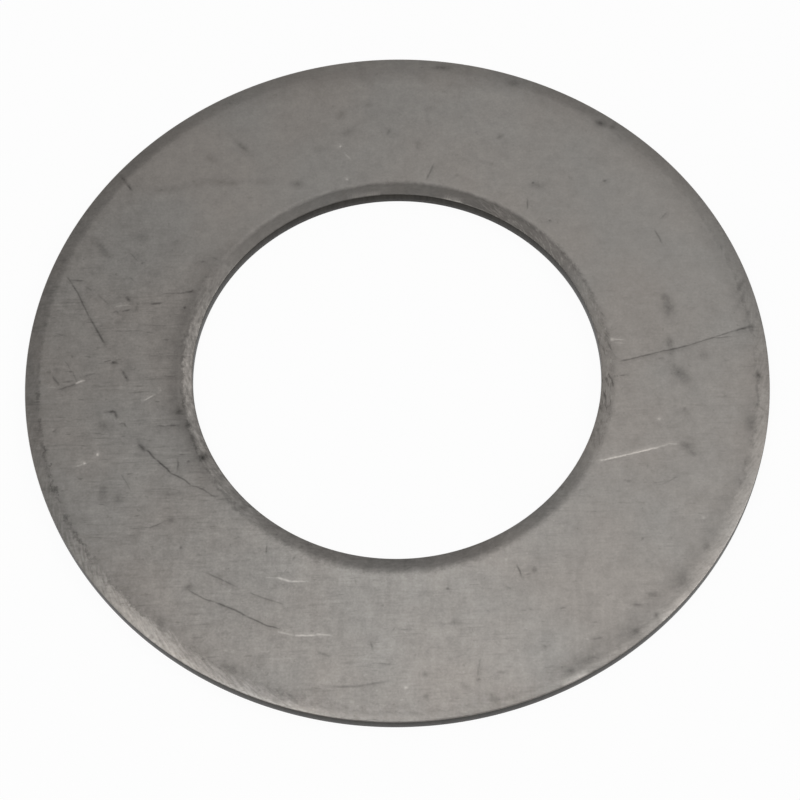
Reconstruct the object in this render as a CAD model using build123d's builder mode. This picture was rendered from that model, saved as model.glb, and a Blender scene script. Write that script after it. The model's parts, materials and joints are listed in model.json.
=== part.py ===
from build123d import *

import os

# Shim ring: a flat annular spacer of cold-rolled steel strip, blanked and
# pierced in one stroke of a compound die, then lightly tumbled.  Because the
# rim and the bore are sheared from the same side, both cut edges carry the
# same section.  From the upper face down it is:
#   - a shallow roll-over, where the strip was dragged down before it cut
#   - a burnished land, as straight and as true as the die
#   - a fracture, torn rather than cut, that draws back a little from the land
#   - a lower corner with its burr tumbled off
#
# Millimetres.  The ring lies flat, its axis is Z, and the origin is on that
# axis at the lower face.

# Nominal sizes
outer_diameter = 40.0
bore_diameter = 22.0
thickness = 0.9

# Roll-over on the upper face, the same at the rim and at the bore
roll_width = 0.7
roll_depth = 0.12
roll_blend_radius = 2.4  # eases the flat face into the roll-over
nose_radius = 0.08  # turns the roll-over down into the land

# Fracture below the land, and the lower corner
fracture_height = 0.32
fracture_relief = 0.015
lower_corner_radius = 0.04

corner_radii = [lower_corner_radius, 0, nose_radius, roll_blend_radius]


def cut_edge(wall_radius, into_metal):
    """Corners of one sheared edge in the R-Z plane, from the lower face up.

    into_metal is +1 at the bore and -1 at the rim.
    """
    return [
        (wall_radius + into_metal * fracture_relief, 0),
        (wall_radius, fracture_height),
        (wall_radius, thickness - roll_depth),
        (wall_radius + into_metal * roll_width, thickness),
    ]


rim_edge = cut_edge(outer_diameter / 2, -1)
bore_edge = cut_edge(bore_diameter / 2, +1)

with BuildPart() as shim_ring:
    with BuildSketch(Plane.XZ) as section:
        with BuildLine():
            FilletPolyline(
                *rim_edge,
                *reversed(bore_edge),
                radius=corner_radii + corner_radii[::-1],
                close=True,
            )
        make_face()
    revolve(axis=Axis.Z)

shim_ring.part.label = "shim_ring"

os.makedirs("parts", exist_ok=True)
export_step(shim_ring.part, "parts/shim_ring.step")
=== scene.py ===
import json
import math
import random

import bmesh
import bpy
from mathutils import Matrix, Vector, geometry, kdtree, noise


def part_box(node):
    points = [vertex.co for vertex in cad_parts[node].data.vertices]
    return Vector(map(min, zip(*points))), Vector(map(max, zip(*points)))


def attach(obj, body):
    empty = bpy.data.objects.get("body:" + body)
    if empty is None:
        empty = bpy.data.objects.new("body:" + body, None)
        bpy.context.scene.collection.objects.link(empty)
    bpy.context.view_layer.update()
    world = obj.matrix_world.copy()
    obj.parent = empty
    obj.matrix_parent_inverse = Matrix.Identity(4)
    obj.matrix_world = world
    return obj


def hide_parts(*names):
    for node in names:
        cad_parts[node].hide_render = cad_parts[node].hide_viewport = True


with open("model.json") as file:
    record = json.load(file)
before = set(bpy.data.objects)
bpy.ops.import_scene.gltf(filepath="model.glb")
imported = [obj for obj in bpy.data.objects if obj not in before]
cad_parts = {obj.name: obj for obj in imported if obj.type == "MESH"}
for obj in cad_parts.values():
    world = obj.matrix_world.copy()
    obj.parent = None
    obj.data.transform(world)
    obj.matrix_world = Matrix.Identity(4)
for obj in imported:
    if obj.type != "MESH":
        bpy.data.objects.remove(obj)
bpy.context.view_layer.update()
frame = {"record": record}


# ---------------------------------------------------------------------------
# The stamped ring.  One piece of cold-rolled steel strip, blanked and pierced
# in one stroke: rim and bore both roll over at the upper face, run straight
# down a burnished land and end in a torn fracture.
# ---------------------------------------------------------------------------
MM = 0.001
ring_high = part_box("shim_ring")[1]
bore_mount = next(m for m in frame["record"]["mounts"] if m["name"] == "bore")

outer_radius = ring_high.x
bore_radius = bore_mount["dims"]["r_mm"] * MM
thickness = ring_high.z
roll_width = 0.7 * MM
roll_depth = 0.12 * MM
roll_blend_radius = 2.4 * MM
nose_radius = 0.08 * MM
fracture_height = 0.32 * MM
fracture_relief = 0.015 * MM
lower_corner_radius = 0.04 * MM
edge_wander = 0.03 * MM  # how unevenly the roll-over ends on the upper face
weld_gap = 0.0002 * MM
steps_round = 1080


def add_node(tree, kind, settings=None, **inputs):
    """Adds a node. Inputs are numbers or sockets, by name with _ for a space, or _0, _1 by place."""
    node = tree.nodes.new(kind)
    for name, value in (settings or {}).items():
        setattr(node, name, value)
    for key, value in inputs.items():
        name = int(key[1:]) if key[1:].isdigit() else key.replace("_", " ")
        if isinstance(value, bpy.types.NodeSocket):
            tree.links.new(value, node.inputs[name])
        else:
            node.inputs[name].default_value = value
    return node


def reckon(tree, operation, first, second=0.0):
    """The result of one Math node."""
    return add_node(tree, "ShaderNodeMath", {"operation": operation}, _0=first, _1=second).outputs[0]


def stamped_ring_tree():
    """Draws the section as a closed curve with rounded corners and carries it round the axis."""
    tree = bpy.data.node_groups.new("stamped_ring", "GeometryNodeTree")
    lengths = (
        "Outer Radius", "Bore Radius", "Thickness", "Roll Width", "Roll Depth",
        "Roll Blend Radius", "Nose Radius", "Fracture Height", "Fracture Relief",
        "Lower Corner Radius", "Edge Wander",
    )
    for name in lengths:
        tree.interface.new_socket(name, in_out="INPUT", socket_type="NodeSocketFloat")
    tree.interface.new_socket("Steps Round", in_out="INPUT", socket_type="NodeSocketInt")
    for name in ("Rolled Face", "Sheared Wall"):
        tree.interface.new_socket(name, in_out="INPUT", socket_type="NodeSocketMaterial")
    tree.interface.new_socket("Ring", in_out="OUTPUT", socket_type="NodeSocketGeometry")
    size = tree.nodes.new("NodeGroupInput").outputs

    # Section corners as radius and height, from the rim's lower corner over to the bore's.
    land_top = reckon(tree, "SUBTRACT", size["Thickness"], size["Roll Depth"])
    half_depth = reckon(tree, "MULTIPLY", size["Roll Depth"], 0.5)
    mid_roll = reckon(tree, "SUBTRACT", size["Thickness"], half_depth)
    half_roll = reckon(tree, "MULTIPLY", size["Roll Width"], 0.5)
    corners = [
        (reckon(tree, "SUBTRACT", size["Outer Radius"], size["Fracture Relief"]), 0.0),
        (size["Outer Radius"], size["Fracture Height"]),
        (size["Outer Radius"], land_top),
        (reckon(tree, "SUBTRACT", size["Outer Radius"], half_roll), mid_roll),
        (reckon(tree, "SUBTRACT", size["Outer Radius"], size["Roll Width"]), size["Thickness"]),
        (reckon(tree, "ADD", size["Bore Radius"], size["Roll Width"]), size["Thickness"]),
        (reckon(tree, "ADD", size["Bore Radius"], half_roll), mid_roll),
        (size["Bore Radius"], land_top),
        (size["Bore Radius"], size["Fracture Height"]),
        (reckon(tree, "ADD", size["Bore Radius"], size["Fracture Relief"]), 0.0),
    ]
    roundings = [size["Lower Corner Radius"], 0.0, size["Nose Radius"], 0.0, size["Roll Blend Radius"]]
    roundings += roundings[::-1]

    corner_index = tree.nodes.new("GeometryNodeInputIndex").outputs[0]
    place = add_node(tree, "GeometryNodeIndexSwitch", {"data_type": "VECTOR"}, Index=corner_index)
    rounding = add_node(tree, "GeometryNodeIndexSwitch", {"data_type": "FLOAT"}, Index=corner_index)
    for switch in (place, rounding):
        while len(switch.index_switch_items) < len(corners):
            switch.index_switch_items.new()
    for i, (radius, height) in enumerate(corners):
        corner = add_node(tree, "ShaderNodeCombineXYZ", X=radius, Y=height)
        tree.links.new(corner.outputs[0], place.inputs[1 + i])
        if isinstance(roundings[i], float):
            rounding.inputs[1 + i].default_value = roundings[i]
        else:
            tree.links.new(roundings[i], rounding.inputs[1 + i])
    line = add_node(tree, "GeometryNodeMeshLine", Count=len(corners))
    placed = add_node(tree, "GeometryNodeSetPosition", Geometry=line.outputs[0], Position=place.outputs[0])
    curve = add_node(tree, "GeometryNodeMeshToCurve", Mesh=placed.outputs[0])
    closed = add_node(tree, "GeometryNodeSetSplineCyclic", Geometry=curve.outputs[0], Cyclic=True)
    rounded = add_node(
        tree, "GeometryNodeFilletCurve", {"mode": "POLY"},
        Curve=closed.outputs[0], Count=6, Radius=rounding.outputs[0],
    )

    # Each point of the sweep knows its place in the section and its turn round the axis.
    position = tree.nodes.new("GeometryNodeInputPosition").outputs[0]
    section = add_node(
        tree, "GeometryNodeStoreNamedAttribute", {"data_type": "FLOAT_VECTOR"},
        Geometry=rounded.outputs[0], Name="section", Value=position,
    )
    circle = add_node(tree, "GeometryNodeCurvePrimitiveCircle", Resolution=size["Steps Round"], Radius=1.0)
    way_round = tree.nodes.new("GeometryNodeSplineParameter").outputs["Factor"]
    turning = add_node(
        tree, "GeometryNodeStoreNamedAttribute", {"data_type": "FLOAT"},
        Geometry=circle.outputs[0], Name="turn", Value=reckon(tree, "MULTIPLY", way_round, math.tau),
    )
    swept = add_node(
        tree, "GeometryNodeCurveToMesh", Curve=turning.outputs[0], Profile_Curve=section.outputs[0]
    )
    named = "GeometryNodeInputNamedAttribute"
    in_section = add_node(tree, named, {"data_type": "FLOAT_VECTOR"}, Name="section")
    turn = add_node(tree, named, {"data_type": "FLOAT"}, Name="turn").outputs[0]
    parts = add_node(tree, "ShaderNodeSeparateXYZ", _0=in_section.outputs[0]).outputs
    cosine, sine = reckon(tree, "COSINE", turn), reckon(tree, "SINE", turn)

    # The roll-over ends unevenly on the upper face, and only a little unevenly at the walls.
    # The radius lifts each place through the noise, so that rim and bore don't wander alike.
    lift = reckon(tree, "MULTIPLY", parts[0], 300.0)
    round_way = add_node(tree, "ShaderNodeCombineXYZ", X=cosine, Y=sine, Z=lift)
    uneven = add_node(
        tree, "ShaderNodeTexNoise", Vector=round_way.outputs[0], Scale=9.0, Detail=2.0, Roughness=0.5
    )
    share = add_node(
        tree, "ShaderNodeMapRange", Value=parts[1], From_Min=land_top, From_Max=size["Thickness"],
        To_Min=0.08, To_Max=1.0,
    )
    wander = reckon(tree, "MULTIPLY", reckon(tree, "SUBTRACT", uneven.outputs[0], 0.5), size["Edge Wander"])
    radius = reckon(tree, "ADD", parts[0], reckon(tree, "MULTIPLY", wander, share.outputs[0]))
    on_ring = add_node(
        tree, "ShaderNodeCombineXYZ", Z=parts[1],
        X=reckon(tree, "MULTIPLY", radius, cosine), Y=reckon(tree, "MULTIPLY", radius, sine),
    )
    shaped = add_node(tree, "GeometryNodeSetPosition", Geometry=swept.outputs[0], Position=on_ring.outputs[0])
    merged = add_node(tree, "GeometryNodeMergeByDistance", Geometry=shaped.outputs[0], Distance=weld_gap)
    outward = add_node(tree, "GeometryNodeFlipFaces", Mesh=merged.outputs[0])
    smooth = add_node(tree, "GeometryNodeSetShadeSmooth", Geometry=outward.outputs[0], Shade_Smooth=True)

    # Whatever stands upright is sheared wall, and the rest is rolled face.
    faced = add_node(
        tree, "GeometryNodeSetMaterial", Geometry=smooth.outputs[0], Material=size["Rolled Face"]
    )
    normal = add_node(tree, "ShaderNodeSeparateXYZ", _0=tree.nodes.new("GeometryNodeInputNormal").outputs[0])
    upright = reckon(tree, "LESS_THAN", reckon(tree, "ABSOLUTE", normal.outputs[2]), 0.5)
    walled = add_node(
        tree, "GeometryNodeSetMaterial", Geometry=faced.outputs[0], Selection=upright,
        Material=size["Sheared Wall"],
    )
    add_node(tree, "NodeGroupOutput", Ring=walled.outputs[0])
    return tree


rolled_face = bpy.data.materials.new("cold_rolled_face")
sheared_wall = bpy.data.materials.new("sheared_wall")

ring_tree = stamped_ring_tree()
blank = bpy.data.objects.new("ring_blank", bpy.data.meshes.new("ring_blank"))
bpy.context.scene.collection.objects.link(blank)
sweep = blank.modifiers.new("stamping", "NODES")
sweep.node_group = ring_tree
sizes = {
    "Outer Radius": outer_radius, "Bore Radius": bore_radius, "Thickness": thickness,
    "Roll Width": roll_width, "Roll Depth": roll_depth, "Roll Blend Radius": roll_blend_radius,
    "Nose Radius": nose_radius, "Fracture Height": fracture_height,
    "Fracture Relief": fracture_relief, "Lower Corner Radius": lower_corner_radius,
    "Edge Wander": edge_wander, "Steps Round": steps_round,
    "Rolled Face": rolled_face, "Sheared Wall": sheared_wall,
}
for socket in ring_tree.interface.items_tree:
    if socket.name in sizes:
        sweep[socket.identifier] = sizes[socket.name]
ring_mesh = bpy.data.meshes.new_from_object(blank.evaluated_get(bpy.context.evaluated_depsgraph_get()))
bpy.data.objects.remove(blank)

# The upper face has been handled and slid about.  Scores, nicks and pits are pressed into it, and oil
# and dirt have left smears.  Each lies at its own angle (degrees from +X) and radius (mm).
# A score is its tone, its width in mm and its points; below 0 it holds dirt, above 0 it is bare metal.
scores = [
    # left, above: one long score with short drag marks behind it
    (-0.5, 0.07, [(161, 19.0), (163.5, 18.1), (168, 17.0)]),
    (-0.65, 0.09, [(168, 17.0), (171, 16.3), (173, 15.9)]),
    (-0.5, 0.07, [(161.5, 18.7), (161, 18.0)]),
    (-0.35, 0.08, [(162, 17.8), (162.5, 17.4)]),
    (-0.25, 0.07, [(163, 16.9), (164.5, 16.2)]),
    (-0.6, 0.14, [(162, 15.5), (162.5, 15.2)]),
    (-0.55, 0.1, [(165, 15.3), (164.5, 15.0)]),
    (0.35, 0.05, [(164.5, 15.8), (163.5, 15.1)]),
    (-0.4, 0.1, [(166, 15.9), (165.5, 15.7), (166, 15.5)]),
    (-0.6, 0.09, [(162, 14.0), (161, 13.5)]),
    (-0.6, 0.11, [(156, 12.4), (155, 12.0)]),
    (-0.35, 0.08, [(158.5, 13.6), (157, 12.7), (156, 12.4)]),
    (-0.25, 0.05, [(167.5, 14.0), (166.5, 12.7)]),
    (-0.3, 0.05, [(170, 15.6), (169, 14.1)]),
    (-0.3, 0.06, [(152.5, 16.4), (153.5, 15.8)]),
    (-0.3, 0.06, [(157.5, 15.7), (158, 15.4)]),
    (-0.4, 0.1, [(147, 12.7), (146.5, 12.5)]),
    (-0.3, 0.08, [(144.5, 12.3), (144, 12.0)]),
    (-0.35, 0.07, [(150.5, 12.0), (148.5, 11.5)]),
    (-0.4, 0.07, [(153, 11.6), (155.5, 11.6)]),
    (-0.65, 0.1, [(140.5, 19.6), (141.5, 18.6)]),
    # left: crossed nicks, and a broken score that runs down to the bore
    (-0.8, 0.15, [(177, 15.4), (177, 15.2)]),
    (-0.45, 0.06, [(177, 15.8), (176.5, 15.4)]),
    (-0.7, 0.13, [(179, 14.8), (181, 14.5)]),
    (-0.5, 0.09, [(180, 18.5), (181.5, 18.2)]),
    (-0.4, 0.09, [(182.5, 18.2), (181.5, 17.3)]),
    (0.25, 0.07, [(182, 18.7), (182, 18.3)]),
    (0.75, 0.09, [(181.5, 17.2), (181, 16.8)]),
    (-0.35, 0.09, [(180, 16.8), (179.5, 16.3)]),
    (-0.3, 0.06, [(177, 17.9), (178.5, 17.6)]),
    (-0.35, 0.06, [(179.5, 17.4), (181, 17.2)]),
    (-0.35, 0.05, [(180.5, 12.4), (181, 11.7)]),
    (0.5, 0.07, [(186.5, 13.6), (185.5, 13.1)]),
    (-0.7, 0.13, [(188, 15.6), (188, 15.3), (189.5, 15.2)]),
    (-0.6, 0.08, [(191, 15.1), (191, 14.9), (192, 14.8)]),
    (-0.35, 0.06, [(194.5, 14.7), (195, 14.3)]),
    (-0.7, 0.16, [(196.5, 14.4), (198.5, 14.2)]),
    (-0.65, 0.08, [(198.5, 14.1), (201.5, 13.8)]),
    (-0.75, 0.08, [(201.5, 13.8), (204.5, 13.5), (206, 13.4)]),
    (-0.6, 0.07, [(206, 13.4), (208.5, 13.0), (211, 12.8)]),
    (-0.5, 0.07, [(211, 12.8), (213.5, 12.4), (216.5, 12.2), (217.5, 12.0)]),
    (-0.65, 0.11, [(194, 12.6), (194.5, 12.2)]),
    (-0.45, 0.08, [(193.5, 13.1), (194, 12.8)]),
    (-0.55, 0.08, [(204, 12.8), (206, 13.0)]),
    (0.4, 0.06, [(197.5, 17.9), (197.5, 17.5)]),
    (-0.25, 0.05, [(197.5, 16.7), (198, 16.1)]),
    (-0.3, 0.06, [(202, 15.8), (206, 15.7)]),
    (-0.35, 0.07, [(214.5, 15.9), (215, 15.2)]),
    # low left: two long scores side by side, and bright scratches
    (-0.5, 0.07, [(235.5, 12.3), (236.5, 12.7)]),
    (-0.4, 0.08, [(243, 12.1), (243, 12.3)]),
    (-0.5, 0.07, [(229, 16.7), (232, 16.6), (234, 16.4)]),
    (-0.6, 0.08, [(234, 16.4), (238, 16.2), (240.5, 16.2)]),
    (-0.6, 0.07, [(240.5, 16.2), (244.5, 16.2), (247, 16.1)]),
    (-0.4, 0.07, [(229, 15.4), (232.5, 15.2), (235.5, 15.1)]),
    (-0.4, 0.07, [(238.5, 15.0), (242, 14.9), (245.5, 14.8)]),
    (0.2, 0.06, [(239.5, 13.9), (242, 13.6)]),
    (0.55, 0.09, [(242, 13.6), (245, 13.5)]),
    (0.5, 0.08, [(245, 13.5), (248, 13.2)]),
    (0.4, 0.08, [(247, 16.3), (250, 16.2)]),
    (0.6, 0.08, [(250, 16.2), (252.5, 16.0), (253.5, 15.9)]),
    (0.4, 0.08, [(254, 15.8), (256.5, 15.7)]),
    (-0.3, 0.12, [(255, 16.7), (257, 16.8)]),
    (-0.45, 0.08, [(264, 15.8), (264.5, 16.1)]),
    (-0.3, 0.11, [(258.5, 18.4), (262.5, 18.2), (267.5, 17.8)]),
    (0.4, 0.07, [(252.5, 19.5), (253, 19.9)]),
    # below: short nicks
    (-0.4, 0.06, [(268, 15.1), (268.5, 14.9)]),
    (-0.3, 0.06, [(269.5, 15.0), (271.5, 15.0)]),
    (-0.3, 0.06, [(264.5, 16.9), (268, 16.9)]),
    (-0.25, 0.08, [(283, 17.3), (282, 18.1)]),
    (-0.25, 0.12, [(285.5, 18.1), (287, 18.2)]),
    (-0.5, 0.08, [(297.5, 13.0), (297, 13.7)]),
    (-0.35, 0.08, [(293, 13.8), (293.5, 14.1)]),
    (-0.3, 0.08, [(298, 13.7), (299, 13.8)]),
    (-0.4, 0.1, [(300, 16.2), (301, 16.3)]),
    (-0.35, 0.08, [(295, 15.5), (295.5, 15.6)]),
    (-0.3, 0.09, [(303.5, 17.8), (304, 17.9)]),
    (-0.3, 0.09, [(301.5, 18.5), (303, 18.7)]),
    (-0.3, 0.1, [(271, 11.4), (271, 11.8)]),
    # right: a long dark score to the rim, and a long bright scratch below it
    (-0.35, 0.12, [(330, 13.8), (330.5, 14.0)]),
    (-0.25, 0.08, [(335.5, 16.1), (332.5, 15.5)]),
    (-0.35, 0.2, [(313.5, 18.4), (314.5, 18.8)]),
    (-0.35, 0.12, [(310.5, 18.3), (311.5, 18.6)]),
    (-0.55, 0.07, [(1, 12.0), (2, 13.1), (3, 14.2)]),
    (-0.55, 0.08, [(3, 14.2), (3.5, 15.1), (4, 15.8)]),
    (-0.45, 0.07, [(4, 15.8), (5, 17.0), (6, 18.4)]),
    (-0.65, 0.1, [(6, 18.4), (6.5, 19.5)]),
    (-0.35, 0.07, [(5, 17.3), (5, 18.1)]),
    (-0.5, 0.06, [(356.5, 11.6), (357, 12.3)]),
    (0.65, 0.12, [(7.5, 11.7), (7.5, 11.8)]),
    (0.45, 0.05, [(7.5, 11.8), (7, 12.3)]),
    (0.3, 0.05, [(6.5, 11.8), (6, 12.3)]),
    (0.2, 0.06, [(330.5, 11.6), (332, 12.1)]),
    (0.8, 0.08, [(332, 12.1), (335.5, 13.1), (340, 14.6)]),
    (0.25, 0.08, [(340, 14.6), (341.5, 15.1), (342, 15.6)]),
    (-0.45, 0.07, [(352.5, 19.3), (351, 19.9)]),
    (-0.3, 0.07, [(355, 19.3), (353, 19.4)]),
    # above
    (-0.5, 0.07, [(54.5, 12.8), (53, 12.3)]),
    (-0.4, 0.08, [(30, 16.6), (27, 16.5)]),
    (-0.3, 0.08, [(31.5, 17.4), (32, 17.8)]),
    (-0.3, 0.12, [(91, 14.9), (90.5, 15.2)]),
    (-0.4, 0.09, [(81, 12.1), (80, 13.0)]),
    (0.3, 0.08, [(101, 13.9), (100, 13.5)]),
    # bright chips along the two edges
    (0.9, 0.08, [(70, 11.05), (72.5, 11.05), (75, 11.05)]),
    (0.6, 0.08, [(94, 11.05), (98, 11.05), (103, 11.05)]),
    (0.5, 0.08, [(294, 19.95), (298, 19.95)]),
    (0.4, 0.08, [(312, 19.95), (315, 19.95), (318, 19.95)]),
]
# Pits and nicks: tone, width in mm, then where they are.
pits = [
    (-0.6, 0.12, 160.5, 12.2), (-0.5, 0.16, 170.5, 19.3), (-0.35, 0.13, 190, 18.6),
    (-0.5, 0.14, 191, 11.9), (-0.7, 0.18, 205.5, 11.5), (-0.45, 0.12, 205, 12.3),
    (-0.35, 0.12, 221.5, 15.3), (-0.35, 0.12, 153.5, 15.5), (-0.5, 0.12, 280.5, 13.0),
    (-0.3, 0.15, 282, 18.2), (-0.25, 0.12, 321, 16.2), (-0.3, 0.14, 350, 15.5),
    (-0.45, 0.15, 44.5, 16.5), (-0.4, 0.1, 46.5, 12.5), (-0.4, 0.12, 56, 13.9), (-0.5, 0.18, 312, 19.5),
    (-0.8, 0.14, 229.5, 19.9), (0.75, 0.13, 196.5, 16.6), (0.7, 0.12, 197.5, 17.4),
    (0.35, 0.1, 184.5, 12.7), (0.45, 0.17, 270.5, 18.2), (0.35, 0.17, 330, 18.3),
    (0.5, 0.13, 346.5, 14.3), (0.4, 0.12, 101.5, 14.4), (0.35, 0.12, 102, 12.2),
    (0.3, 0.13, 144.5, 11.4),
]
# Smears of oil and dirt: darkness, angle, radius, length and width in mm, and the way they run.
smears = [
    # right
    (0.25, 13, 15.2, 0.6, 0.3, 90), (0.2, 15.5, 15.2, 0.2, 0.2, 90), (0.25, 5, 14.8, 0.35, 0.2, 90),
    (0.15, 2.5, 14.8, 0.45, 0.15, 90), (0.25, 357.5, 15.2, 0.75, 0.3, 125), (0.1, 349, 15.6, 0.3, 0.3, 0),
    (0.1, 344, 16.1, 0.3, 0.2, 0), (0.25, 342, 16.0, 0.35, 0.25, 0), (0.2, 341, 16.4, 0.35, 0.1, 0),
    (0.15, 1.5, 16.6, 0.3, 0.2, 0),
    # along the right of the rim
    (0.35, 357.5, 19.4, 0.3, 0.15, 100), (0.25, 349, 19.1, 0.45, 0.3, 90), (0.1, 342, 19.3, 0.4, 0.2, 70),
    (0.2, 12, 19.3, 0.6, 0.1, 65), (0.2, 8.5, 19.3, 0.4, 0.1, 70), (0.25, 14, 19.4, 0.5, 0.1, 60),
    (0.2, 326, 19.2, 0.2, 0.2, 0), (0.15, 319, 19.2, 0.6, 0.4, 45), (0.15, 307, 19.4, 0.5, 0.3, 20),
    (0.2, 308, 19.5, 0.2, 0.2, 0), (0.2, 296, 19.4, 0.25, 0.1, 0), (0.15, 299.5, 19.3, 0.6, 0.2, 20),
    (0.1, 297, 19.3, 0.8, 0.3, 20),
    # below
    (0.2, 280.5, 14.9, 0.2, 0.2, 0), (0.2, 283.5, 19.3, 0.4, 0.2, 150), (0.1, 280, 18.5, 0.4, 0.1, 150),
    (0.25, 273.5, 17.5, 0.15, 0.15, 0), (0.2, 273.5, 18.7, 0.15, 0.15, 0), (0.15, 278.5, 16.9, 0.1, 0.15, 0),
    (0.2, 288.5, 13.0, 0.1, 0.2, 90), (0.3, 300, 13.7, 0.15, 0.15, 0), (0.15, 294.5, 17.7, 0.1, 0.25, 90),
    # above
    (0.25, 67.5, 15.8, 0.15, 0.15, 0), (0.15, 67, 13.9, 0.35, 0.1, 160), (0.2, 54.5, 13.9, 0.3, 0.2, 0),
    (0.1, 52, 15.5, 0.2, 0.15, 0), (0.35, 52.5, 19.3, 0.3, 0.2, 150), (0.25, 50.5, 19.5, 0.15, 0.15, 0),
    (0.2, 69, 19.4, 0.3, 0.2, 0), (0.2, 120.5, 16.6, 0.6, 0.15, 130), (0.15, 127, 16.9, 0.35, 0.2, 0),
    (0.15, 137.5, 17.1, 0.8, 0.2, 10), (0.1, 132.5, 16.2, 0.8, 0.2, 15), (0.15, 127.5, 15.1, 0.9, 0.2, 0),
    (0.1, 121, 13.9, 0.7, 0.2, 0), (0.2, 114.5, 12.9, 0.3, 0.2, 0), (0.15, 148.5, 16.3, 0.35, 0.3, 0),
    (0.2, 154, 17.9, 0.65, 0.2, 125), (0.1, 146, 14.5, 0.5, 0.25, 20), (0.15, 143.5, 18.2, 0.2, 0.15, 0),
    (0.1, 157, 18.9, 0.3, 0.15, 60), (0.15, 100, 16.5, 0.3, 0.3, 0), (0.15, 99.5, 15.3, 0.35, 0.25, 20),
    (0.15, 94.5, 16.9, 0.15, 0.25, 90), (0.1, 106.5, 14.6, 0.3, 0.2, 0), (0.15, 79, 18.4, 0.3, 0.15, 0),
    (0.15, 77.5, 17.6, 0.1, 0.1, 0), (0.25, 81.5, 19.5, 0.5, 0.15, 0), (0.2, 84, 14.2, 0.3, 0.15, 100),
    (0.1, 83, 16.2, 0.8, 0.1, 100), (0.1, 82.5, 16.7, 0.2, 0.15, 0),
    # left
    (0.25, 191, 16.0, 0.25, 0.25, 0), (0.2, 204, 17.1, 0.25, 0.4, 0), (0.2, 206.5, 16.5, 0.25, 0.25, 0),
    (0.15, 210.5, 14.2, 0.25, 0.4, 0), (0.2, 200, 19.5, 0.2, 0.4, 90), (0.2, 216, 14.8, 0.25, 0.2, 0),
    (0.2, 228.5, 16.6, 0.25, 0.15, 0), (0.3, 195.5, 11.6, 0.3, 0.2, 120), (0.25, 200, 11.6, 0.45, 0.15, 110),
    (0.2, 191, 11.9, 0.3, 0.3, 0), (0.4, 205.5, 11.5, 0.3, 0.25, 0), (0.2, 164, 14.7, 0.1, 0.35, 0),
    (0.1, 168, 14.3, 0.1, 0.8, 0), (0.1, 177.5, 14.5, 0.15, 0.5, 0), (0.1, 173, 11.7, 0.1, 0.9, 0),
    (0.2, 242.5, 19.1, 0.6, 0.2, 155), (0.15, 250.5, 19.4, 0.9, 0.2, 165), (0.1, 229, 19.0, 0.4, 0.2, 130),
]
face_step = 0.2 * MM  # between the points of the plain face
mark_step = 0.12 * MM  # between the points along a score
score_shiver = 0.03 * MM  # how far a score strays to either side
shiver_grain = 4000  # the strays' noise, per metre
mark_margin = 2  # widths from a roll-over within which a mark has no points of its own
mark_reach = 0.72  # half of what a mark presses in, as a share of its width
tone_reach = 1.6  # how far its tone goes, as a share of that reach
mark_search = 0.2 * MM
score_depth = 0.15  # as a share of the score's width
pit_depth = 0.12  # as a share of the pit's width


def on_face(angle, radius):
    """A point of the upper face, as seen from above."""
    turned = math.radians(angle)
    return Vector((radius * math.cos(turned), radius * math.sin(turned))) * MM


def along_score(points):
    """Even steps along a score, each with the way across it and its strength, which is less at the ends."""
    corners = [on_face(*p) for p in points]
    lengths = [(b - a).length for a, b in zip(corners, corners[1:])]
    whole = sum(lengths)
    count = max(3, round(whole / mark_step))
    for k in range(count + 1):
        left = whole * k / count
        for a, b, length in zip(corners, corners[1:], lengths):
            if left <= length or b is corners[-1]:
                break
            left -= length
        along = (b - a) / length
        across = Vector((-along.y, along.x))
        shiver = score_shiver * noise.noise((a + along * left).to_3d() * shiver_grain)
        yield a + along * left + across * shiver, across, min(1.0, 4 * min(k, count - k) / count + 0.5)


def lay_out_marks(inner, outer):
    """The points and edges that the marks need, what each spot of a mark does, and a finder of such spots."""
    points, edges, found = [], [], []
    for tone, width, path in scores:
        rows = [[] for _ in range(5)]
        for spot, across, fade in along_score(path):
            depth = abs(tone) * width * MM * score_depth * fade
            found.append((spot, tone * fade, width * MM * mark_reach, depth))
            if not inner + width * MM * mark_margin < spot.length < outer - width * MM * mark_margin:
                continue
            for row, side in zip(rows, (-2, -1, 0, 1, 2)):
                row.append(len(points))
                points.append(spot + across * side * width * MM / 2)
        for row in rows:
            edges += zip(row, row[1:])
    for tone, width, angle, radius in pits:
        middle = on_face(angle, radius)
        found.append((middle, tone, width * MM * mark_reach, width * MM * pit_depth))
        if not inner + width * MM * mark_margin < radius * MM < outer - width * MM * mark_margin:
            continue
        points.append(middle)
        for ring, steps in ((1, 8), (2, 12)):
            for k in range(steps):
                way = math.tau * (k + 0.5 * ring) / steps
                points.append(middle + Vector((math.cos(way), math.sin(way))) * ring * width * MM / 2)
    finder = kdtree.KDTree(len(found))
    for i, mark in enumerate(found):
        finder.insert(mark[0].to_3d(), i)
    finder.balance()
    return points, edges, found, finder


def pressed(spot, found, finder):
    """How far a spot is pressed in, and its tone, from the marks that reach it."""
    drop, tone = 0.0, 0.0
    for _, i, gap in finder.find_range(spot.to_3d(), mark_search):
        _, strength, reach, depth = found[i]
        away = gap / reach
        drop = min(drop, -depth * max(0.0, 1 - away))
        share = strength * max(0.0, 1 - away / tone_reach)
        if abs(share) > abs(tone):
            tone = share
    return drop, tone


def smeared(spot):
    """How dirty a spot is, from the smears that reach it."""
    darkening = 0.0
    for darkness, angle, radius, length, width, way in smears:
        off = (spot - on_face(angle, radius)) / MM
        if off.length < 3 * length:
            turned = math.radians(way)
            along = off.x * math.cos(turned) + off.y * math.sin(turned)
            across = off.y * math.cos(turned) - off.x * math.sin(turned)
            darkening += darkness * math.exp(-((along / length) ** 2) - (across / width) ** 2)
    return darkening


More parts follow.
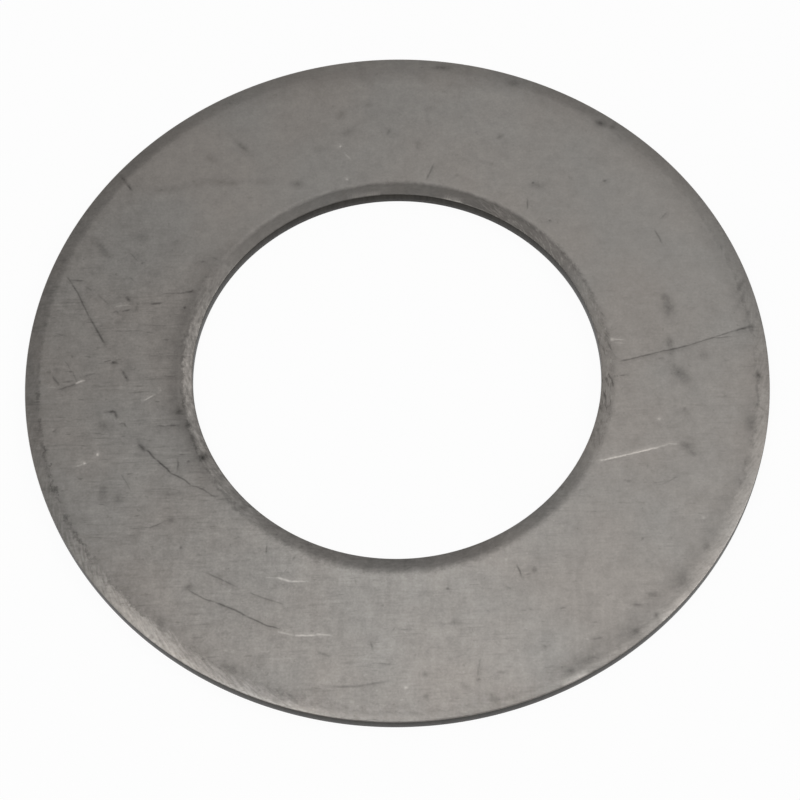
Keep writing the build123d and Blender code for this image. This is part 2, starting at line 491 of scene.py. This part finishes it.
def wide_and_flat(face):
    """True for a face that spans the upper side from one roll-over to the other."""
    radii = [v.co.to_2d().length for v in face.verts]
    return face.normal.z > 0.99 and max(radii) - min(radii) > MM


# The plain face is cut out, and laid again between the roll-overs with points enough for the marks.
bm = bmesh.new()
bm.from_mesh(ring_mesh)
tone_layer = bm.verts.layers.float.new("mark_tone")
dirt_layer = bm.verts.layers.float.new("smear")
bmesh.ops.delete(bm, geom=[f for f in bm.faces if wide_and_flat(f)], context="FACES")
open_edges = [e for e in bm.edges if e.is_boundary]
brink = sorted({v for e in open_edges for v in e.verts}, key=lambda v: v.index)
place_of = {v: i for i, v in enumerate(brink)}
plan = [v.co.to_2d() for v in brink]
plan_edges = [(place_of[e.verts[0]], place_of[e.verts[1]]) for e in open_edges]
middle_radius = (bore_radius + outer_radius) / 2
inner = max(p.length for p in plan if p.length < middle_radius)
outer = min(p.length for p in plan if p.length > middle_radius)

mark_points, mark_edges, found, finder = lay_out_marks(inner, outer)
plan_edges += [(a + len(plan), b + len(plan)) for a, b in mark_edges]
plan += mark_points
near = kdtree.KDTree(len(plan))
for i, p in enumerate(plan):
    near.insert(p.to_3d(), i)
near.balance()

scatter = random.Random(7)
unevenness = 0.2  # as a share of a step
closest = 0.6 * face_step
rows = round((outer - inner) / face_step)
for row in range(1, rows):
    radius = inner + (outer - inner) * row / rows
    count = round(math.tau * radius / face_step)
    for k in range(count):
        turned = math.tau * (k + scatter.uniform(-unevenness, unevenness) + 0.5 * (row % 2)) / count
        out = radius + scatter.uniform(-unevenness, unevenness) * face_step
        spot = Vector((math.cos(turned), math.sin(turned))) * out
        if near.find(spot.to_3d())[2] > closest:
            plan.append(spot)

inside_edges = 1
same_point = 1e-8
laid, _, triangles, laid_from, _, _ = geometry.delaunay_2d_cdt(plan, plan_edges, [], inside_edges, same_point)


def over_the_bore(triangles, laid, loop_edges):
    """The triangles that close the bore: those reached from its middle without crossing its edge."""
    sides = {}
    for i, corners in enumerate(triangles):
        for a, b in zip(corners, corners[1:] + corners[:1]):
            sides.setdefault(frozenset((a, b)), []).append(i)

    def off_axis(i):
        return sum((laid[c] for c in triangles[i]), Vector((0, 0))).length

    middle = min(range(len(triangles)), key=off_axis)
    reached, todo = {middle}, [middle]
    while todo:
        corners = triangles[todo.pop()]
        for a, b in zip(corners, corners[1:] + corners[:1]):
            side = frozenset((a, b))
            if side not in loop_edges:
                new = set(sides[side]) - reached
                reached |= new
                todo += new
    return reached


new_place = {}
for i, sources in enumerate(laid_from):
    for source in sources:
        new_place[source] = i
loop_edges = {frozenset(new_place[place_of[v]] for v in e.verts) for e in open_edges}
verts = []
for spot, sources in zip(laid, laid_from):
    old = [brink[i] for i in sources if i < len(brink)]
    drop = pressed(spot, found, finder)[0]
    verts.append(old[0] if old else bm.verts.new((spot.x, spot.y, thickness + drop)))
closing = over_the_bore(triangles, laid, loop_edges)
for i, corners in enumerate(triangles):
    if i not in closing:
        bm.faces.new([verts[c] for c in corners]).smooth = True
for vert in bm.verts:
    # Tone and dirt reach down the roll-overs to the top of the land.
    if vert.co.z > thickness - 1.5 * roll_depth:
        vert[tone_layer] = pressed(vert.co.to_2d(), found, finder)[1]
        vert[dirt_layer] = smeared(vert.co.to_2d())
bm.to_mesh(ring_mesh)
bm.free()
ring = bpy.data.objects.new("shim_ring_steel", ring_mesh)
bpy.context.scene.collection.objects.link(ring)


# Two finishes: the dull rolled faces, and the sheared wall round the rim and the bore.
def mixed(tree, share, first, second):
    """One colour turned into another by a share."""
    node = add_node(tree, "ShaderNodeMix", {"data_type": "RGBA"}, _0=share)
    node.inputs[6].default_value = (*first, 1)
    node.inputs[7].default_value = (*second, 1)
    return node.outputs[2]


def between(tree, share, first, second):
    """One value turned into another by a share."""
    return add_node(tree, "ShaderNodeMix", _0=share, _2=first, _3=second).outputs[0]


def ramp(tree, value, low, high, to_low=0.0, to_high=1.0, kind="LINEAR"):
    """A value stretched from one span to another, and held at its ends."""
    node = add_node(
        tree, "ShaderNodeMapRange", {"interpolation_type": kind},
        Value=value, From_Min=low, From_Max=high, To_Min=to_low, To_Max=to_high,
    )
    return node.outputs[0]


def times(tree, *values):
    """The product of several values."""
    product = values[0]
    for value in values[1:]:
        product = reckon(tree, "MULTIPLY", product, value)
    return product


def plus(tree, *values):
    """The sum of several values."""
    total = values[0]
    for value in values[1:]:
        total = reckon(tree, "ADD", total, value)
    return total


def grain(tree, mm, scale, stretch=(1, 1, 1), turn=0.0, detail=2.0, rough=0.5, seed=0.0):
    """Noise with features of 1/scale mm, drawn out along an axis that is turned round Z."""
    turned = add_node(
        tree, "ShaderNodeMapping", {"vector_type": "TEXTURE"}, Vector=mm,
        Location=(seed, seed, 0), Rotation=(0, 0, math.radians(turn)), Scale=stretch,
    )
    noise_node = add_node(
        tree, "ShaderNodeTexNoise", Vector=turned.outputs[0], Scale=scale, Detail=detail, Roughness=rough
    )
    return noise_node.outputs[0]


def round_ring(tree, turn, stops):
    """A value that changes round the ring, from (degrees, value) stops with values below 2."""
    node = add_node(tree, "ShaderNodeValToRGB", Fac=turn)
    bar = node.color_ramp
    bar.interpolation = "EASE"
    while len(bar.elements) < len(stops):
        bar.elements.new(1.0)
    for element, (degrees, value) in zip(bar.elements, stops):
        element.position = degrees / 360
        element.color = (value / 2, value / 2, value / 2, 1)
    return reckon(tree, "MULTIPLY", node.outputs[0], 2.0)


def fibres(tree, mm, radius, at, lean, close, far):
    """Fine lines in an edge band. They lean to the tangent, repeat close by across and run far along."""
    off = reckon(tree, "SUBTRACT", radius, at)
    turned = add_node(
        tree, "ShaderNodeVectorRotate", {"rotation_type": "Z_AXIS"},
        Vector=mm, Angle=reckon(tree, "MULTIPLY", off, lean),
    )
    sums = "ShaderNodeVectorMath"
    level = add_node(tree, sums, {"operation": "MULTIPLY"}, _0=turned.outputs[0], _1=(1, 1, 0))
    even = add_node(tree, sums, {"operation": "NORMALIZE"}, _0=level.outputs[0])
    scaled = add_node(tree, sums, {"operation": "SCALE"}, _0=even.outputs[0], Scale=at * close)
    lifted = add_node(
        tree, sums, {"operation": "ADD"}, _0=scaled.outputs[0],
        _1=add_node(tree, "ShaderNodeCombineXYZ", Z=reckon(tree, "MULTIPLY", off, far)).outputs[0],
    )
    lines = add_node(
        tree, "ShaderNodeTexNoise", Vector=lifted.outputs[0], Scale=1.0, Detail=3.0, Roughness=0.6
    )
    return lines.outputs[0]


def steel_tree(material, roughness):
    """Empties a material and gives it bare metal. Returns its tree, its shader and places in mm."""
    material.use_nodes = True
    tree = material.node_tree
    tree.nodes.clear()
    output = tree.nodes.new("ShaderNodeOutputMaterial")
    steel = add_node(tree, "ShaderNodeBsdfPrincipled", Metallic=1.0, Roughness=roughness)
    tree.links.new(steel.outputs[0], output.inputs["Surface"])
    place = tree.nodes.new("ShaderNodeTexCoord").outputs["Object"]
    mm = add_node(tree, "ShaderNodeMapping", Vector=place, Scale=(1 / MM, 1 / MM, 1 / MM)).outputs[0]
    return tree, steel, mm


tree, steel, mm = steel_tree(rolled_face, 0.4)
parts = add_node(tree, "ShaderNodeSeparateXYZ", _0=mm).outputs
flat_place = add_node(tree, "ShaderNodeVectorMath", {"operation": "MULTIPLY"}, _0=mm, _1=(1, 1, 0)).outputs[0]
radius = add_node(tree, "ShaderNodeVectorMath", {"operation": "LENGTH"}, _0=flat_place).outputs["Value"]
turn = reckon(tree, "FRACT", reckon(tree, "DIVIDE", reckon(tree, "ARCTAN2", parts[1], parts[0]), math.tau))

# Dull rolled steel, brownish in some places and bluish in others, mottled most on the left and below.
clouds = ramp(tree, grain(tree, mm, 0.16, detail=3.0, seed=3.0), 0.38, 0.62)
colour = mixed(tree, clouds, (0.296, 0.283, 0.266), (0.303, 0.282, 0.261))
worn = round_ring(tree, turn, [
    (0, 0.85), (30, 0.65), (75, 0.8), (130, 0.75), (160, 1.2), (200, 1.1), (240, 1.3), (270, 1.05),
    (310, 0.85), (360, 0.85),
])
coarse = ramp(tree, grain(tree, mm, 0.9, detail=3.0, rough=0.55), 0.3, 0.7, -0.06, 0.06)
middling = ramp(tree, grain(tree, mm, 2.6, detail=3.0, rough=0.6, seed=5.0), 0.3, 0.7, -0.07, 0.07)
fine = ramp(tree, grain(tree, mm, 8.0, detail=2.0, seed=8.0), 0.3, 0.7, -0.06, 0.06)
mottle = plus(tree, 1.0, times(tree, worn, plus(tree, coarse, middling, fine)))

# Rolling lines along X show most on the left, with short dark dashes among them.
sides = round_ring(tree, turn, [
    (0, 0.5), (40, 0.15), (90, 0.05), (138, 0.15), (152, 0.5), (165, 1.15), (205, 1.2), (240, 0.8),
    (300, 0.6), (360, 0.5),
])
lines = grain(tree, mm, 7.0, (10, 1, 1), detail=3.0, rough=0.65)
line_patches = ramp(tree, grain(tree, mm, 0.7, (1.5, 0.6, 1), detail=3.0, seed=9.0), 0.4, 0.6)
dark_lines = ramp(tree, lines, 0.52, 0.72, 0.0, -0.2)
light_lines = ramp(tree, lines, 0.46, 0.28, 0.0, 0.12)
hairlines = plus(tree, 1.0, times(tree, sides, line_patches, plus(tree, dark_lines, light_lines)))
dashes = ramp(tree, grain(tree, mm, 4.5, (4, 1, 1), seed=22.0), 0.66, 0.74, 0.0, -0.22)
hairlines = times(tree, hairlines, plus(tree, 1.0, times(tree, sides, dashes)))

# Below, faint rubbed lines cross them, with old oil spots and bright flecks.
low_side = round_ring(tree, turn, [
    (0, 0.3), (60, 0.0), (150, 0.2), (200, 0.5), (240, 1.0), (300, 1.0), (340, 0.4), (360, 0.3),
])
rubbed = ramp(tree, grain(tree, mm, 3.0, (6, 1, 1), turn=88.0, detail=3.0, seed=17.0), 0.3, 0.7, -0.04, 0.04)
spots = ramp(tree, grain(tree, mm, 2.2, detail=4.0, rough=0.6, seed=61.0), 0.36, 0.29, 0.0, -0.16)
flecks = ramp(tree, grain(tree, mm, 3.5, detail=3.0, seed=83.0), 0.66, 0.75, 0.0, 0.14)
spotted = plus(tree, 1.0, times(tree, worn, spots), times(tree, low_side, plus(tree, rubbed, flecks)))

# Broad painted light and shade on the face: lighter above and most of all below, and by the bore darker on
# the left and lighter below. Also darker close to the bore on the left and along a ring next to the rim.
painted_face_light = round_ring(tree, turn, [
    (0, 1.0), (45, 1.04), (75, 1.1), (100, 1.08), (130, 1.1), (150, 1.03), (175, 1.0), (210, 1.03),
    (240, 1.11), (265, 1.17), (285, 1.16), (305, 1.06), (335, 1.01), (360, 1.0),
])
# Painted shade by the bore on the left, and painted light by it below.
bore_side_light_and_shade = round_ring(tree, turn, [
    (0, 1.0), (130, 1.0), (148, 0.86), (168, 0.8), (190, 0.82), (208, 0.92), (225, 1.0), (245, 1.1),
    (300, 1.08), (330, 1.02), (360, 1.0),
])
# Darker still close to the bore on the left.
near_bore_darkening = round_ring(tree, turn, [
    (0, 1.0), (105, 1.0), (120, 0.93), (135, 0.88), (150, 0.86), (163, 0.72), (180, 0.78), (195, 0.74),
    (212, 0.78), (225, 0.92), (240, 0.97), (360, 1.0),
])
# Darker along a ring next to the rim, most above and at the lower right.
rim_side_darkening = round_ring(tree, turn, [
    (0, 0.92), (15, 0.9), (60, 0.88), (75, 0.88), (92, 0.81), (105, 0.87), (120, 0.92), (135, 0.97),
    (195, 0.98), (210, 0.93), (225, 0.88), (240, 0.91), (255, 0.94), (270, 0.98), (285, 0.95),
    (300, 0.84), (330, 0.88), (345, 0.9), (360, 0.92),
])
by_bore = ramp(tree, radius, 13.4, 11.9)
near_bore = ramp(tree, radius, 12.45, 11.6)
by_rim = ramp(tree, radius, 18.2, 19.0)
face_light = times(
    tree, painted_face_light, between(tree, by_bore, 1.0, bore_side_light_and_shade), between(tree, near_bore, 1.0, near_bore_darkening),
    between(tree, by_rim, 1.0, rim_side_darkening),
)

# The edge bands, where the sheet rolls over, with soft or ragged inner borders.
ragged = plus(tree, grain(tree, mm, 3.0, detail=4.0, rough=0.7, seed=31.0), -0.5)
rim_width = round_ring(tree, turn, [
    (0, 0.66), (60, 0.72), (180, 0.68), (205, 0.62), (222, 0.72), (232, 0.76), (245, 0.7), (300, 0.72),
    (330, 0.66), (360, 0.66),
])
rim_ragged = round_ring(tree, turn, [
    (0, 0.8), (30, 0.4), (60, 0.15), (150, 0.15), (185, 0.5), (205, 1.3), (250, 1.3), (280, 0.6),
    (340, 1.0), (360, 0.8),
])
from_rim = plus(tree, outer_radius / MM, times(tree, radius, -1.0), times(tree, ragged, rim_ragged))
from_rim = reckon(tree, "DIVIDE", from_rim, rim_width)
in_rim = ramp(tree, from_rim, 1.4, 0.7, kind="SMOOTHSTEP")
bore_width = round_ring(tree, turn, [
    (0, 0.6), (30, 0.66), (55, 0.68), (90, 0.72), (135, 0.66), (165, 0.55), (185, 0.5), (205, 0.56),
    (228, 0.66), (270, 0.72), (315, 0.7), (345, 0.64), (360, 0.6),
])
bore_ragged = round_ring(tree, turn, [
    (0, 0.8), (25, 0.5), (60, 0.2), (140, 0.2), (165, 0.7), (215, 0.7), (250, 0.9), (300, 0.7),
    (360, 0.8),
])
from_bore = plus(tree, radius, -bore_radius / MM, times(tree, ragged, bore_ragged))
from_bore = reckon(tree, "DIVIDE", from_bore, bore_width)
soft = round_ring(tree, turn, [
    (0, 1.25), (225, 1.25), (245, 1.6), (280, 1.65), (310, 1.55), (335, 1.3), (360, 1.25),
])
in_bore = ramp(tree, from_bore, soft, 0.8, kind="SMOOTHSTEP")
# Painted light and shade round the rim band: lightest low on the left near 228° and above near 85°, darkest
# near 255° and 300°.
rim_band_light_and_shade = round_ring(tree, turn, [
    (0, 1.08), (30, 1.1), (60, 1.06), (85, 1.24), (115, 1.08), (135, 0.93), (180, 0.94), (200, 1.05),
    (213, 1.15), (228, 1.5), (242, 0.98), (255, 0.87), (270, 0.94), (285, 0.98), (300, 0.9), (315, 0.93),
    (330, 1.03), (360, 1.08),
])
# Painted light and shade round the bore band: lightest at the right, darkest above, at about 65 to 105°.
bore_band_light_and_shade = round_ring(tree, turn, [
    (0, 1.25), (20, 1.12), (38, 0.76), (52, 0.58), (65, 0.45), (105, 0.43), (130, 0.48), (150, 0.62),
    (165, 0.78), (178, 0.93), (200, 0.95), (215, 0.9), (235, 0.84), (262, 0.8), (290, 0.85), (305, 1.0),
    (322, 1.05), (338, 1.22), (360, 1.25),
])

# Torn fibres in the bands: pale strokes low on the left and at the upper right of the bore, and
# dark slashes at its right.
rim_strokes = fibres(tree, mm, radius, 19.6, -0.11, 3.0, 4.0)
rim_strokes = ramp(tree, rim_strokes, 0.3, 0.7, -0.24, 0.24)
rim_share = round_ring(tree, turn, [
    (0, 0.5), (30, 0.1), (180, 0.2), (200, 0.6), (215, 1.0), (245, 1.0), (262, 0.3), (310, 0.4),
    (360, 0.5),
])
slashes = ramp(tree, fibres(tree, mm, radius, 11.4, 0.2, 2.4, 4.0), 0.52, 0.66, 0.0, -0.5)
slash_share = round_ring(tree, turn, [
    (0, 1.0), (12, 0.4), (25, 0.2), (60, 0.0), (325, 0.0), (342, 0.5), (350, 1.0), (360, 1.0),
])
strokes = ramp(tree, fibres(tree, mm, radius, 11.4, -0.2, 4.0, 6.0), 0.52, 0.74, -0.06, 0.7)
stroke_share = round_ring(tree, turn, [
    (0, 0.3), (22, 0.4), (34, 0.8), (48, 1.0), (60, 0.9), (70, 0.1), (90, 0.0), (330, 0.0), (360, 0.3),
])
drawn = ramp(tree, fibres(tree, mm, radius, 11.4, 0.12, 2.4, 6.0), 0.3, 0.7, -0.32, 0.32)
drawn_share = round_ring(tree, turn, [(0, 0.2), (140, 0.2), (160, 1.0), (218, 1.0), (235, 0.3), (360, 0.2)])
rim_lines = plus(tree, 1.0, times(tree, rim_strokes, rim_share), times(tree, ragged, 0.25))
bore_lines = plus(
    tree, 1.0, times(tree, slashes, slash_share), times(tree, strokes, stroke_share),
    times(tree, drawn, drawn_share),
)

# The nose of the roll-over catches the light along the lower rim.
nose_light = round_ring(tree, turn, [
    (0, 1.0), (232, 1.0), (245, 1.08), (255, 1.16), (270, 1.13), (285, 1.12), (300, 1.22), (315, 1.2),
    (330, 1.06), (350, 1.0),
])
rim_nose = between(tree, ramp(tree, radius, 19.55, 19.74), 1.0, nose_light)
rim_band = times(tree, rim_band_light_and_shade, rim_lines, rim_nose)
bore_band = times(tree, bore_band_light_and_shade, bore_lines)
surface = between(tree, in_bore, between(tree, in_rim, face_light, rim_band), bore_band)

# Darker along the crease where each roll-over starts, most on the left.
crease_breaks = ramp(tree, grain(tree, mm, 2.0, detail=4.0, rough=0.7, seed=55.0), 0.4, 0.62)
rim_crease = ramp(tree, reckon(tree, "ABSOLUTE", plus(tree, from_rim, -1.08)), 0.06, 0.22, 1.0, 0.0)
bore_crease_at = round_ring(tree, turn, [
    (0, 0.86), (60, 0.8), (95, 1.12), (330, 1.12), (346, 0.95), (360, 0.86),
])
bore_crease = reckon(tree, "ABSOLUTE", reckon(tree, "SUBTRACT", from_bore, bore_crease_at))
bore_crease = ramp(tree, bore_crease, 0.06, 0.26, 1.0, 0.0)
rim_crease_dark = round_ring(tree, turn, [
    (0, 0.9), (20, 0.7), (40, 0.3), (75, 0.1), (165, 0.2), (183, 1.2), (205, 1.5), (222, 1.0),
    (240, 0.5), (260, 0.1), (330, 0.3), (345, 0.9), (360, 0.9),
])
bore_crease_dark = round_ring(tree, turn, [
    (0, 0.9), (20, 1.0), (34, 1.2), (48, 0.7), (65, 0.2), (140, 0.2), (158, 0.9), (190, 1.4), (218, 1.3),
    (235, 0.4), (330, 0.3), (345, 0.8), (360, 0.9),
])
darkening = plus(tree, times(tree, rim_crease, rim_crease_dark), times(tree, bore_crease, bore_crease_dark))
creases = plus(tree, 1.0, times(tree, crease_breaks, darkening, -0.28))

# The underside lay flat on the die, so it has none of these bands.
upper = ramp(tree, parts[2], 0.3, 0.6)
surface = between(tree, upper, 1.0, times(tree, surface, creases))

# The marks and smears that were laid out with the mesh, a little broken up.
tone = add_node(tree, "ShaderNodeAttribute", {"attribute_name": "mark_tone"}).outputs["Fac"]
smear = add_node(tree, "ShaderNodeAttribute", {"attribute_name": "smear"}).outputs["Fac"]
patchy = ramp(tree, grain(tree, mm, 3.5, detail=4.0, rough=0.75, seed=40.0), 0.3, 0.7, 0.55, 1.45)
clean = plus(tree, 1.0, times(tree, smear, patchy, -1.45))
broken = ramp(tree, grain(tree, mm, 2.5, detail=3.0, rough=0.6, seed=71.0), 0.35, 0.6, 0.65, 1.0)
dark_mark = times(tree, reckon(tree, "MINIMUM", tone, 0.0), broken, 0.95)
light_mark = times(tree, reckon(tree, "MAXIMUM", tone, 0.0), broken, 1.35)
marked = plus(tree, 1.0, dark_mark, light_mark)
texture = times(tree, mottle, hairlines, spotted)
shade = times(tree, texture, surface, clean, marked)
shaded = add_node(tree, "ShaderNodeVectorMath", {"operation": "SCALE"}, _0=colour, Scale=shade)
tree.links.new(shaded.outputs[0], steel.inputs["Base Color"])
relief = times(tree, texture, between(tree, in_rim, 1.0, rim_lines), between(tree, in_bore, 1.0, bore_lines))
bump = add_node(tree, "ShaderNodeBump", Strength=0.2, Distance=0.01 * MM, Height=relief)
tree.links.new(bump.outputs[0], steel.inputs["Normal"])

# The sheared wall: a burnished land over a torn fracture. Its colour is nearly black, partly a dark sheared
# edge and partly painted shade, and the fracture is a little greyer as painted reflection of the floor.
tree, steel, mm = steel_tree(sheared_wall, 0.45)
parts = add_node(tree, "ShaderNodeSeparateXYZ", _0=mm).outputs
wavy = ramp(tree, grain(tree, mm, 1.2, (1, 1, 4), detail=4.0, rough=0.7), 0.3, 0.7, -0.1, 0.1)
height = reckon(tree, "ADD", parts[2], wavy)
torn = ramp(tree, height, fracture_height / MM + 0.05, fracture_height / MM - 0.05)
drag = ramp(tree, grain(tree, mm, 5.0, (1, 1, 8), detail=3.0), 0.3, 0.7, 0.7, 1.3)
crumbs = ramp(tree, grain(tree, mm, 6.0, detail=4.0, rough=0.7), 0.3, 0.7, 0.5, 1.5)
# Painted shade: the land nearly black, the fracture a touch greyer as painted reflection of the floor.
wall_shade_colour = mixed(tree, torn, (0.029, 0.026, 0.022), (0.038, 0.035, 0.032))
uneven = between(tree, torn, drag, crumbs)
shaded = add_node(tree, "ShaderNodeVectorMath", {"operation": "SCALE"}, _0=wall_shade_colour, Scale=uneven)
tree.links.new(shaded.outputs[0], steel.inputs["Base Color"])
bump = add_node(tree, "ShaderNodeBump", Strength=0.5, Distance=0.02 * MM, Height=uneven)
tree.links.new(bump.outputs[0], steel.inputs["Normal"])

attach(ring, "root")
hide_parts("shim_ring")


# ---------------------------------------------------------------------------
# Studio.  White paper on a table, evenly lit, with two large soft lamps, two
# small ones and the camera.
# ---------------------------------------------------------------------------
paper_reach = 3.0
paper_gap = 0.00002
paper_glow = 0.95
floor_mesh = bpy.data.meshes.new("floor")
paper_corners = [(x * paper_reach, y * paper_reach, 0) for x, y in ((-1, -1), (1, -1), (1, 1), (-1, 1))]
floor_mesh.from_pydata(paper_corners, [], [(0, 1, 2, 3)])
floor = bpy.data.objects.new("floor", floor_mesh)
bpy.context.scene.collection.objects.link(floor)
floor.location.z = -paper_gap
paper = bpy.data.materials.new("white_paper")
paper.use_nodes = True
tree = paper.node_tree
tree.nodes.clear()
diffuse = add_node(tree, "ShaderNodeBsdfDiffuse", Color=(0.8, 0.8, 0.8, 1))
glow = add_node(tree, "ShaderNodeEmission", Color=(1, 1, 1, 1), Strength=1.0)
rays = tree.nodes.new("ShaderNodeLightPath").outputs
seen = reckon(tree, "MAXIMUM", rays["Is Camera Ray"], rays["Is Glossy Ray"])
seen = reckon(tree, "MAXIMUM", seen, rays["Is Transmission Ray"])
glow_share = reckon(tree, "MULTIPLY", seen, paper_glow)
mix = add_node(tree, "ShaderNodeMixShader", _0=glow_share, _1=diffuse.outputs[0], _2=glow.outputs[0])
add_node(tree, "ShaderNodeOutputMaterial", Surface=mix.outputs[0])
floor_mesh.materials.append(paper)

world = bpy.data.worlds.new("room_light")
bpy.context.scene.world = world
world.use_nodes = True
background = world.node_tree.nodes["Background"]
background.inputs["Color"].default_value = (1, 1, 1, 1)
background.inputs["Strength"].default_value = 0.36


def add_lamp(name, azimuth, elevation, distance, width, power):
    """A square soft lamp that faces the ring. Azimuth is anticlockwise from +X."""
    light = bpy.data.lights.new(name, "AREA")
    light.size = width
    light.energy = power
    lamp = bpy.data.objects.new(name, light)
    a, e = math.radians(azimuth), math.radians(elevation)
    lamp.location = Vector((math.cos(a) * math.cos(e), math.sin(a) * math.cos(e), math.sin(e))) * distance
    lamp.rotation_euler = (-lamp.location).to_track_quat("-Z", "Y").to_euler()
    bpy.context.scene.collection.objects.link(lamp)


add_lamp("window", 60, 70, 0.6, 0.3, 0.30)
add_lamp("right_wall", 0, 45, 0.6, 0.3, 0.76)
add_lamp("near_left_lamp", 225, 60, 0.22, 0.08, 0.113)
add_lamp("overhead_lamp", 0, 89.5, 0.22, 0.08, 0.0175)

camera_data = bpy.data.cameras.new("camera")
camera_data.lens = 121.65
camera_data.sensor_width = 36.0
camera_data.clip_start = 0.001
camera = bpy.data.objects.new("camera", camera_data)
bpy.context.scene.collection.objects.link(camera)
target = Vector((0.00013, -0.0014, 0))
elevation = math.radians(63.30)
distance = 0.14544
roll = math.radians(-1.23)
back = Vector((0, -math.cos(elevation), math.sin(elevation)))
camera.location = target + back * distance
turned = (-back).to_track_quat("-Z", "Y").to_matrix() @ Matrix.Rotation(roll, 3, "Z")
camera.rotation_euler = turned.to_euler()
bpy.context.scene.camera = camera
bpy.context.scene.view_settings.view_transform = "Standard"
